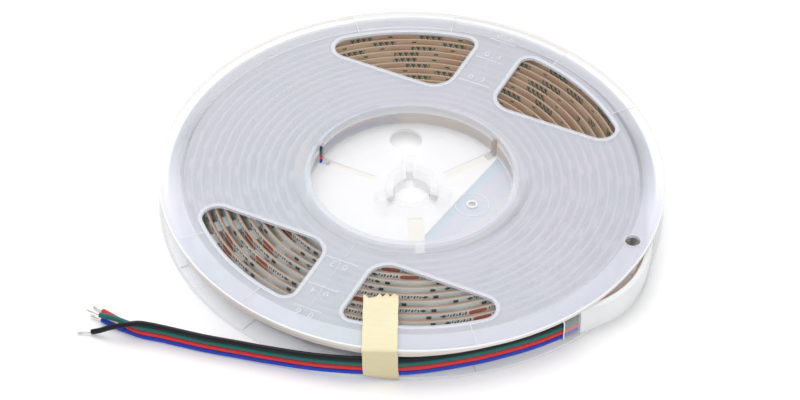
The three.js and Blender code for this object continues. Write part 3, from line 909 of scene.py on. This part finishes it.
WIRES = ("blue", "red", "green", "black")
WIRE_DIAMETER = 1.9
WIRE_PITCH = 2
RIBBON = [
    (57.1, -67.4, 3.0), (54.4, -69.5, 3.0), (51.4, -71.5, 3.0), (44.5, -75.5, 2.9), (37.6, -78.7, 2.8),
    (30.8, -81.4, 2.7), (24.0, -83.8, 2.6), (17.3, -85.7, 2.5), (10.5, -87.3, 2.3), (3.8, -88.6, 2.1),
    (-3.0, -89.2, 1.9), (-10.0, -89.4, 1.9), (-16.4, -89.2, 1.9), (-23.1, -88.6, 1.7),
    (-29.9, -87.6, 1.3), (-36.7, -86.2, 0.9), (-43.5, -84.6, 0.6), (-50.3, -83.0, 0.35),
    (-57.1, -81.3, 0.2), (-64.0, -79.7, 0.1), (-70.9, -78.0, 0.05), (-77.8, -76.0, 0.05),
    (-84.8, -74.0, 0.05)]
ENDS = {
    "blue": [(-88.3, -73.2, 1.05), (-91.8, -72.2, 1.05), (-95.3, -70.6, 1.05), (-98.9, -68.9, 1.05),
             (-102.4, -66.9, 1.05), (-105.3, -64.9, 1.05)],
    "red": [(-88.3, -73.2, 3.05), (-91.8, -72.3, 3.05), (-95.3, -70.5, 3.05), (-99.1, -66.7, 2.5),
            (-102.7, -63.2, 1.6), (-105.3, -60.9, 1.05)],
    "green": [(-88.3, -73.2, 5.05), (-91.8, -72.4, 5.1), (-95.2, -71.0, 5.1), (-98.8, -69.0, 4.9),
              (-102.3, -67.0, 4.3), (-105.9, -65.3, 3.5)],
    "black": [(-88.3, -73.1, 7.05), (-92.0, -72.6, 7.15), (-97.0, -72.8, 6.4), (-102.0, -72.2, 4.4),
              (-105.4, -71.7, 2.5), (-108.3, -71.2, 1.2)],
}
STRAND_TIPS = {"blue": (-109.6, -62.8, 1.0), "red": (-109.3, -58.4, 0.9),
               "green": (-111.4, -61.9, 3.0), "black": (-113.6, -71.4, 0.7)}
STRAND_COUNT = 9
STRAND_STEPS = 12


def threaded(points, per_span=8):
    """Points of a smooth curve through the given ones, with even tension at uneven spacing."""
    points = [Vector(p) for p in points]
    points = [points[0] * 2 - points[1]] + points + [points[-1] * 2 - points[-2]]
    result = []
    for a, b, c, d in zip(points, points[1:], points[2:], points[3:]):
        t0 = 0
        t1 = t0 + (b - a).length ** 0.5
        t2 = t1 + (c - b).length ** 0.5
        t3 = t2 + (d - c).length ** 0.5
        for i in range(per_span):
            t = t1 + (t2 - t1) * i / per_span
            ab = a * ((t1 - t) / (t1 - t0)) + b * ((t - t0) / (t1 - t0))
            bc = b * ((t2 - t) / (t2 - t1)) + c * ((t - t1) / (t2 - t1))
            cd = c * ((t3 - t) / (t3 - t2)) + d * ((t - t2) / (t3 - t2))
            abc = ab * ((t2 - t) / (t2 - t0)) + bc * ((t - t0) / (t2 - t0))
            bcd = bc * ((t3 - t) / (t3 - t1)) + cd * ((t - t1) / (t3 - t1))
            result.append(abc * ((t2 - t) / (t2 - t1)) + bcd * ((t - t1) / (t2 - t1)))
    result.append(points[-2])
    return result


def wire(name, route, diameter, finish, replaced, slot):
    """A round wire as one open curve through the route's points, and its length in metres."""
    points = threaded(route)
    curve = bpy.data.curves.new(name, "CURVE")
    curve.dimensions = "3D"
    curve.bevel_depth = diameter / 2 * MM
    curve.bevel_resolution = 5
    curve.use_fill_caps = True
    spline = curve.splines.new("POLY")
    spline.points.add(len(points) - 1)
    for point, place in zip(spline.points, points):
        point.co = (*(place * MM), 1)
    spline.use_smooth = True
    piece = bpy.data.objects.new(name, curve)
    bpy.context.collection.objects.link(piece)
    length = sum((b - a).length for a, b in zip(points, points[1:])) * MM
    return dress(piece, finish, replaced, slot), length


def tube(path, radius, sides):
    """A thin round tube along a path of points."""
    loops = []
    for i, here in enumerate(path):
        way = (path[min(i + 1, len(path) - 1)] - path[max(i - 1, 0)]).normalized()
        side = way.cross(Vector((0, 0, 1))).normalized()
        up = side.cross(way)
        loops.append([tuple(here + side * (radius * math.cos(t)) + up * (radius * math.sin(t)))
                      for t in (2 * math.pi * k / sides for k in range(sides))])
    return loft(loops)


def bare_strands(name, start, end, seed):
    """Tinned strands, twisted at the insulation and a little frayed at their ends."""
    chance = random.Random(seed)
    start, end = Vector(start), Vector(end)
    way = end - start
    side = way.cross(Vector((0, 0, 1))).normalized()
    up = side.cross(way).normalized()
    strands = []
    for k in range(STRAND_COUNT):
        phase, spread = 2 * math.pi * k / STRAND_COUNT, 0.16 if k < 3 else 0.3
        reach = chance.uniform(0.82, 0.99)
        fray = chance.uniform(0.0, 0.5)
        path = []
        for i in range(STRAND_STEPS + 1):
            share = i / STRAND_STEPS
            turn = phase + share * 2.2
            radius = spread + fray * max(0, share - 0.45) ** 1.5
            offset = side * (radius * math.cos(turn)) + up * (radius * math.sin(turn) * 0.8)
            path.append(start + way * (share * reach) + offset)
        strands.append(tube(path, 0.1, 6))
    return add_piece(f"strands_{name}", *joined(*strands), strands_finish,
                     (f"outer_strands_{name}",), "tinned_strands")


for k, colour in enumerate(WIRES):
    route = [(x, y, lift + (k + 0.5) * WIRE_PITCH) for x, y, lift in RIBBON] + ENDS[colour]
    tail, length = wire(f"tail_{colour}", route, WIRE_DIAMETER, wire_finishes[colour],
                        (f"outer_wire_{colour}",), f"{colour}_insulation")
    strands = bare_strands(colour, ENDS[colour][-1], STRAND_TIPS[colour], 11 + k)
    tuple(c * MM for c in route[0])

TAIL_RADIUS = HUB_OUTER + WIRE_DIAMETER / 2 + 0.75


def inner_route():
    """From the strip's start round the hub to a slit, and in through it."""
    start = WINDING_START + 0.3 / TAIL_RADIUS
    turn_in = SLITS[1] - 2.5 * WIRE_DIAMETER / TAIL_RADIUS
    arc = [(TAIL_RADIUS, start + (turn_in - start) * i / 6) for i in range(7)]
    arc.append((TAIL_RADIUS - WIRE_DIAMETER / 3, SLITS[1] - WIRE_DIAMETER / 2 / TAIL_RADIUS))
    arc.append((HUB_RADIUS + 0.3, SLITS[1]))
    return [(*polar(r, a), 3.0) for r, a in arc]


for k, colour in enumerate(WIRES):
    route = [(x, y, lift + (k + 0.5) * WIRE_PITCH) for x, y, lift in inner_route()]
    wire(f"inner_tail_{colour}", route, WIRE_DIAMETER, wire_finishes[colour],
         (f"inner_wire_{colour}",), f"{colour}_insulation")


SLEEVE_LENGTH = 7
SLEEVE_HALF = (1.52, 4.57)
SLEEVE_WALL = 0.3
END_HALF = (1.5, 4.54)


def sleeve_section(here, way, middle, half, corner):
    """The sleeve's section across the way at a point: a rectangle with round corners."""
    side = Vector((-way.y, way.x, 0)).normalized()
    ring = []
    for right, upper, start in ((1, 1, 0), (-1, 1, 90), (-1, -1, 180), (1, -1, 270)):
        for i in range(5):
            t = math.radians(start + 90 * i / 4)
            across = right * (half[0] - corner) + corner * math.cos(t)
            height = upper * (half[1] - corner) + corner * math.sin(t)
            ring.append((here.x + side.x * across, here.y + side.y * across, middle + height))
    return ring


def shrink_sleeve(name, route, node):
    """A clear flat tube over the joint, with soft corners and a thicker open end."""
    path = threaded(route, 16)
    kept, run = [path[0]], 0
    for a, b in zip(path, path[1:]):
        run += (b - a).length
        if run > SLEEVE_LENGTH:
            break
        kept.append(b)
    middle = route[0][2] + 2 * WIRE_PITCH
    outer, inner = [], []
    for i, here in enumerate(kept):
        way = kept[min(i + 1, len(kept) - 1)] - kept[max(i - 1, 0)]
        outer.append(sleeve_section(here, way, middle, SLEEVE_HALF, 1.1))
        inner.append(sleeve_section(here, way, middle, [h - SLEEVE_WALL for h in SLEEVE_HALF], 0.85))
    add_piece(name, *loft(outer + inner[::-1], closed=True), sleeve_film, (node,), "clear_sleeve")
    way = (kept[-1] - kept[-2]).normalized()
    ends = []
    for back, grow, corner in ((0.45, 0, 1.1), (0.35, 0.04, 1.1), (0.1, 0.04, 1.1), (0, 0, 1.1),
                               (0, -0.3, 0.85), (0.45, -0.3, 0.85)):
        half = [h + grow for h in END_HALF]
        ends.append(sleeve_section(kept[-1] - way * back, way, middle, half, corner))
    add_piece(f"{name}_end", *loft(ends, closed=True), line_plastic, slot="clear_sleeve")


shrink_sleeve("outer_sleeve", RIBBON, "outer_end_sleeve")
shrink_sleeve("inner_sleeve", inner_route(), "inner_end_sleeve")


# Tape

TEAR = [(0, 0.7), (0.08, 1.1), (0.165, 2.6), (0.25, 2.1), (0.36, 1.8), (0.465, 0.1), (0.55, 1.7),
        (0.675, 0), (0.765, 1.6), (0.87, 0.1), (1, 1.1)]


def torn_short(share):
    """How far the torn end falls short at a share of the tape's width."""
    for (start, low), (end, high) in zip(TEAR, TEAR[1:]):
        if share <= end:
            return low + (high - low) * (share - start) / (end - start)
    return TEAR[-1][1]


TAPE_LEFT, TAPE_RIGHT, TAPE_BACK = -15.9, -3.9, -62.6
TAPE_TOP, TAPE_FRONT, TAPE_FOOT = 14.16, -90.52, 0.5
TAPE_COLUMNS = 81
FLAT_ROWS, FOLD_ROWS, HANGING_ROWS = 28, 8, 11
FOLD = 1.4


def tape_rows():
    """Y and Z of the strap's middle line: flat on the cover, round the fold, and down."""
    flat = [(-65.8 - 0.85 * i, TAPE_TOP) for i in range(FLAT_ROWS)]
    turns = [math.pi / 2 * i / FOLD_ROWS for i in range(1, FOLD_ROWS + 1)]
    fold = [(TAPE_FRONT + FOLD - FOLD * math.sin(t), TAPE_TOP - FOLD + FOLD * math.cos(t)) for t in turns]
    hanging = [(TAPE_FRONT, TAPE_TOP - FOLD - 0.9 * i) for i in range(1, HANGING_ROWS + 1)]
    return [(TAPE_BACK, TAPE_TOP)] + flat + fold + hanging + [(TAPE_FRONT, TAPE_FOOT)]


def tape():
    """A strap with a torn end, folded softly over the rim and slanting a little as it hangs."""
    chance = random.Random(4)
    rows = tape_rows()
    last = len(rows) - 1
    points = []
    for row, (middle_y, middle_z) in enumerate(rows):
        flat = 1 <= row < FLAT_ROWS
        hanging = row > FLAT_ROWS + FOLD_ROWS
        for column in range(TAPE_COLUMNS):
            share = column / (TAPE_COLUMNS - 1)
            y, z = middle_y, middle_z
            if row == 0:
                y = TAPE_BACK - torn_short(share) - 0.12 * chance.random()
            if row == last:
                z = TAPE_FOOT + 1.9 * (1 - share)
            x = TAPE_LEFT + (TAPE_RIGHT - TAPE_LEFT) * share + 0.05 * (TAPE_TOP - z)
            swell = 0.05 + 0.035 * math.sin(middle_y * 1.7 + x * 0.4) + 0.03 * math.sin(z * 1.1 + x * 0.7)
            rough_side = 0.08 * math.sin(row * 0.55) if column in (0, TAPE_COLUMNS - 1) else 0
            points.append((x + rough_side, y - (swell if hanging else 0), z + (swell if flat else 0)))
    faces = []
    for row in range(last):
        for column in range(TAPE_COLUMNS - 1):
            a = row * TAPE_COLUMNS + column
            faces.append((a, a + TAPE_COLUMNS, a + TAPE_COLUMNS + 1, a + 1))
    piece = add_piece("tape", points, faces, tape_finish, ("masking_tape",), "crepe_tape")
    thick = piece.modifiers.new("thickness", "SOLIDIFY")
    thick.thickness = 0.13 * MM
    thick.offset = -1


tape()


# Floor and light

def studio():
    """A white floor that keeps the reel's shadow, white surroundings and two large lamps."""
    reach = 4
    floor = bpy.data.meshes.new("floor")
    floor.from_pydata([(-reach, -reach, 0), (reach, -reach, 0), (reach, reach, 0), (-reach, reach, 0)],
                      [], [(0, 1, 2, 3)])
    ground = bpy.data.objects.new("floor", floor)
    bpy.context.collection.objects.link(ground)
    finish = Finish("floor_white", base_color=(0.93, 0.93, 0.93), roughness=0.9)
    tree = finish.tree
    path = finish.node("ShaderNodeLightPath")
    camera_sees = Signal(path.outputs["Is Camera Ray"]) | Signal(path.outputs["Is Transmission Ray"])
    glow = finish.node("ShaderNodeEmission", color=(1, 1, 1), strength=camera_sees * 0.1)
    total = finish.node("ShaderNodeAddShader")
    tree.links.new(finish.shader.outputs[0], total.inputs[0])
    tree.links.new(glow.outputs[0], total.inputs[1])
    tree.links.new(total.outputs[0], tree.nodes["Material Output"].inputs[0])
    floor.materials.append(finish.material)
    world = bpy.data.worlds.new("studio")
    bpy.context.scene.world = world
    world.use_nodes = True
    surroundings = world.node_tree.nodes["Background"]
    surroundings.inputs["Color"].default_value = (1, 1, 1, 1)
    surroundings.inputs["Strength"].default_value = 0.72
    for name, place, size, energy in (("overhead", (-0.25, 0.35, 1.0), 1.0, 5.8),
                                      ("front", (0.5, -0.9, 0.9), 0.9, 2.4)):
        data = bpy.data.lights.new(name, "AREA")
        data.size = size
        data.energy = energy
        lamp = bpy.data.objects.new(name, data)
        lamp.location = place
        lamp.rotation_euler = (-Vector(place)).to_track_quat("-Z", "Y").to_euler()
        bpy.context.collection.objects.link(lamp)
    bpy.context.scene.view_settings.view_transform = "Standard"


studio()
